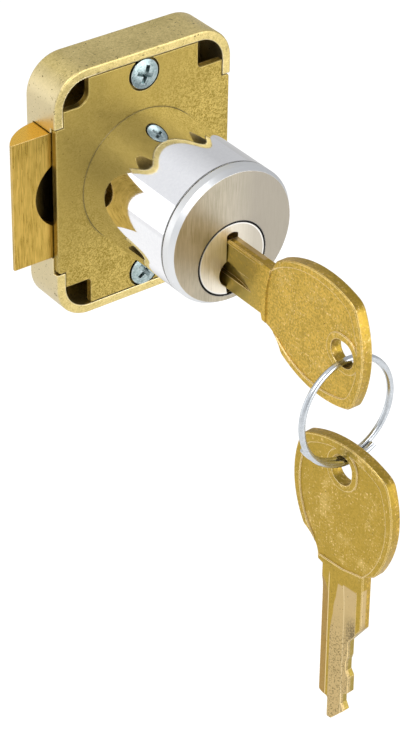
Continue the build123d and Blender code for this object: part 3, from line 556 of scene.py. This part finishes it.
def milled_blade(tree, own, facing, colour):
    """The blade's milled back and the cutter's run-out, its cuts and stains, and the plain edge's bevel.

    Painted highlights line the ridge and the bevel's top edge, and the bevel is painted darker as shade.
    """
    u, v, w = parts_of(tree, own)
    back = fade(tree, w, *BACK_HALF)
    slant = add_node(tree, "Math", {0: u, 1: RUNOUT_SLOPE, 2: v}, operation="MULTIPLY_ADD").outputs[0]
    runout = all_of(tree, fade(tree, slant, *RUNOUT_LINE), fade(tree, v, *RUNOUT_LOW),
                    fade(tree, v, *RUNOUT_HIGH), fade(tree, u, *RUNOUT_END))
    milled = all_of(tree, either(tree, fade(tree, w, *MILLED_DEPTH), runout), back,
                    fade(tree, u, *MILLED_SPAN))
    colour = paint(tree, colour, milled, MILLED_TINT)
    # Painted highlight: a bright line along the ridge between the milled facets.
    ridge_highlight = all_of(tree, milled, fade(tree, v, *RIDGE_LOW), fade(tree, v, *RIDGE_HIGH))
    colour = paint(tree, colour, ridge_highlight, RIDGE_HIGHLIGHT_TINT)
    cuts = all_of(tree, fade(tree, facing, *CUTS_TURN), fade(tree, u, *CUTS_END),
                  fade(tree, v, *CUTS_FOOT))
    colour = paint(tree, colour, cuts, CUTS_TINT)

    worked = either(tree, milled, cuts)
    darkening = noise(tree, own, scale=3.4, detail=3.0, roughness=0.7)
    stain = all_of(tree, worked, fade(tree, u, *STAIN_END), fade(tree, darkening, *STAIN_LEVELS))
    colour = paint(tree, colour, stain, STAIN_TINT)
    deep_stain = all_of(tree, worked, fade(tree, u, *DEEP_STAIN_START), fade(tree, u, *DEEP_STAIN_END),
                        fade(tree, v, *DEEP_STAIN_FOOT), fade(tree, darkening, *DEEP_STAIN_LEVELS))
    colour = paint(tree, colour, deep_stain, DEEP_STAIN_TINT)

    # Painted shade: the slanted bevel along the plain edge is darker.
    bevel = all_of(tree, milled, fade(tree, v, *BEVEL_START))
    colour = paint(tree, colour, bevel, BEVEL_SHADE_TINT)
    # Painted highlight: a bright line along the bevel's top edge.
    bevel_edge_highlight = all_of(tree, back, fade(tree, u, *BEVEL_EDGE_SPAN), fade(tree, v, *BEVEL_EDGE_LOW),
                        fade(tree, v, *BEVEL_EDGE_HIGH))
    return paint(tree, colour, bevel_edge_highlight, BEVEL_EDGE_HIGHLIGHT_TINT)


SHANK_TINT = (0.36, 0.265, 0.055)
SHANK_END = (29.0, 24.5)
SHANK_EDGE = (4.2, 3.4)
SMUDGE_LEVELS = (0.2, 0.5)
SCUFF_TINT = (0.66, 0.47, 0.14)
SCUFF_START = (29.0, 31.0)
SCUFF_LEVELS = (0.54, 0.66)
GLINT_TINT = (0.9, 0.66, 0.28)
GLINT_START = (28.5, 31.0)
GLINT_LEVELS = (0.59, 0.68)
GLINT_SCUFF_LEVELS = (0.42, 0.56)


def handled_bow(tree, own, colour):
    """The front of the shank is dulled by handling, and both faces of the bow are scuffed and glint."""
    u, v, w = parts_of(tree, own)
    smudges = noise(tree, own, scale=1.3, detail=6.0, roughness=0.75)
    smudged = all_of(tree, fade(tree, w, *FRONT_HALF), fade(tree, u, *SHANK_END),
                     fade(tree, v, *SHANK_EDGE), fade(tree, smudges, *SMUDGE_LEVELS))
    colour = paint(tree, colour, smudged, SHANK_TINT)
    scuffs = noise(tree, own, scale=0.16, detail=8.0, roughness=0.8)
    scuffed = all_of(tree, fade(tree, scuffs, *SCUFF_LEVELS), fade(tree, u, *SCUFF_START))
    colour = paint(tree, colour, scuffed, SCUFF_TINT)
    glints = noise(tree, own, scale=2.6, detail=2.0, roughness=0.6)
    glinting = all_of(tree, fade(tree, glints, *GLINT_LEVELS), fade(tree, scuffs, *GLINT_SCUFF_LEVELS),
                      fade(tree, u, *GLINT_START))
    return paint(tree, colour, glinting, GLINT_TINT)


SHEARED_TINT = (0.4, 0.26, 0.05)
SHEARED_TURN = (0.5, 0.3)
SHEARED_LEVELS = (0.62, 0.42)
BACK_SHADE_TINT = (0.4, 0.27, 0.035)
BACK_SHADE_SHARE = 0.6
BOW_STEP = 29.6
BOW_STEP_START = (BOW_STEP - 1.0, BOW_STEP - 0.6)
BOW_STEP_END = (BOW_STEP + 1.0, BOW_STEP + 0.6)


def key_brass(name, tip, turn):
    """A key's finish. Its tip is a place in millimetres, and its frame is turned by three angles."""
    angles = [math.radians(angle) for angle in turn]
    through = Euler(angles).to_matrix() @ Vector((0, 0, 1))

    def own_frame(tree, place):
        """A point's u, v and w."""
        return add_node(tree, "Mapping", {"Vector": place["Object"], "Rotation": angles,
                                          "Location": [part * MM for part in tip],
                                          "Scale": (MM, MM, MM)}, vector_type="TEXTURE").outputs[0]

    def key_marks(tree, place, colour):
        """Sheared sides and a back painted darker as shade, with the blade's milling and the bow's wear over
        them.
        """
        own = own_frame(tree, place)
        lean = reach_along(tree, place["Normal"], through)
        facing = add_node(tree, "Math", {0: lean}, operation="ABSOLUTE").outputs[0]
        shear = noise(tree, own, scale=2.2, detail=4.0, roughness=0.7)
        sheared = all_of(tree, fade(tree, facing, *SHEARED_TURN), fade(tree, shear, *SHEARED_LEVELS))
        colour = paint(tree, colour, sheared, SHEARED_TINT)
        # Painted shade: the back half is darker.
        back = fade(tree, parts_of(tree, own)["Z"], *BACK_HALF, 0, BACK_SHADE_SHARE)
        colour = paint(tree, colour, back, BACK_SHADE_TINT)
        return handled_bow(tree, own, milled_blade(tree, own, facing, colour))

    def bow_step(tree, place):
        """The step across the bow's base on the front face, whose edges get no wear and no painted
        highlight.
        """
        own = parts_of(tree, own_frame(tree, place))
        return all_of(tree, fade(tree, own["X"], *BOW_STEP_START), fade(tree, own["X"], *BOW_STEP_END),
                      fade(tree, own["Z"], *FRONT_HALF))

    return metal(name, light=(0.7, 0.465, 0.085), dark=(0.42, 0.28, 0.035), edge=(1.0, 0.79, 0.4),
                 grain=0.26, speck=0.6, blotch=3.0, rough=(0.34, 0.5), relief=0.012, pits=0.3,
                 pit_size=0.3, nook_shade=0.2, edge_reach=0.22, edge_share=1.0, marks=key_marks,
                 without_wear_and_highlight=bow_step)


KEY_IN_LOCK_TIP = (0, -1.9, -4.3)
KEY_IN_LOCK_TURN = (90, 0, -90)
SPARE_KEY_TIP = (0.1, -52.05, -71.81)
SPARE_KEY_TURN = (95.5, -89, 90)

dress(key_brass("key_in_lock_brass", KEY_IN_LOCK_TIP, KEY_IN_LOCK_TURN), "key_in_lock")
dress(key_brass("spare_key_brass", SPARE_KEY_TIP, SPARE_KEY_TURN), "spare_key")

# Key ring
# Nickel plated spring wire, bent a little over one turn and cut, so that its two ends lap. It hangs in
# the bow of the first key and carries the second.
ring_steel = metal("ring_steel", light=(0.66, 0.69, 0.72), dark=(0.48, 0.51, 0.54), edge=(0.85, 0.87, 0.9),
                   grain=0.25, speck=0.2, blotch=2.5, rough=(0.16, 0.28), relief=0.004, nook_shade=0.6,
                   edge_reach=0.08)
dress(ring_steel, "key_ring")
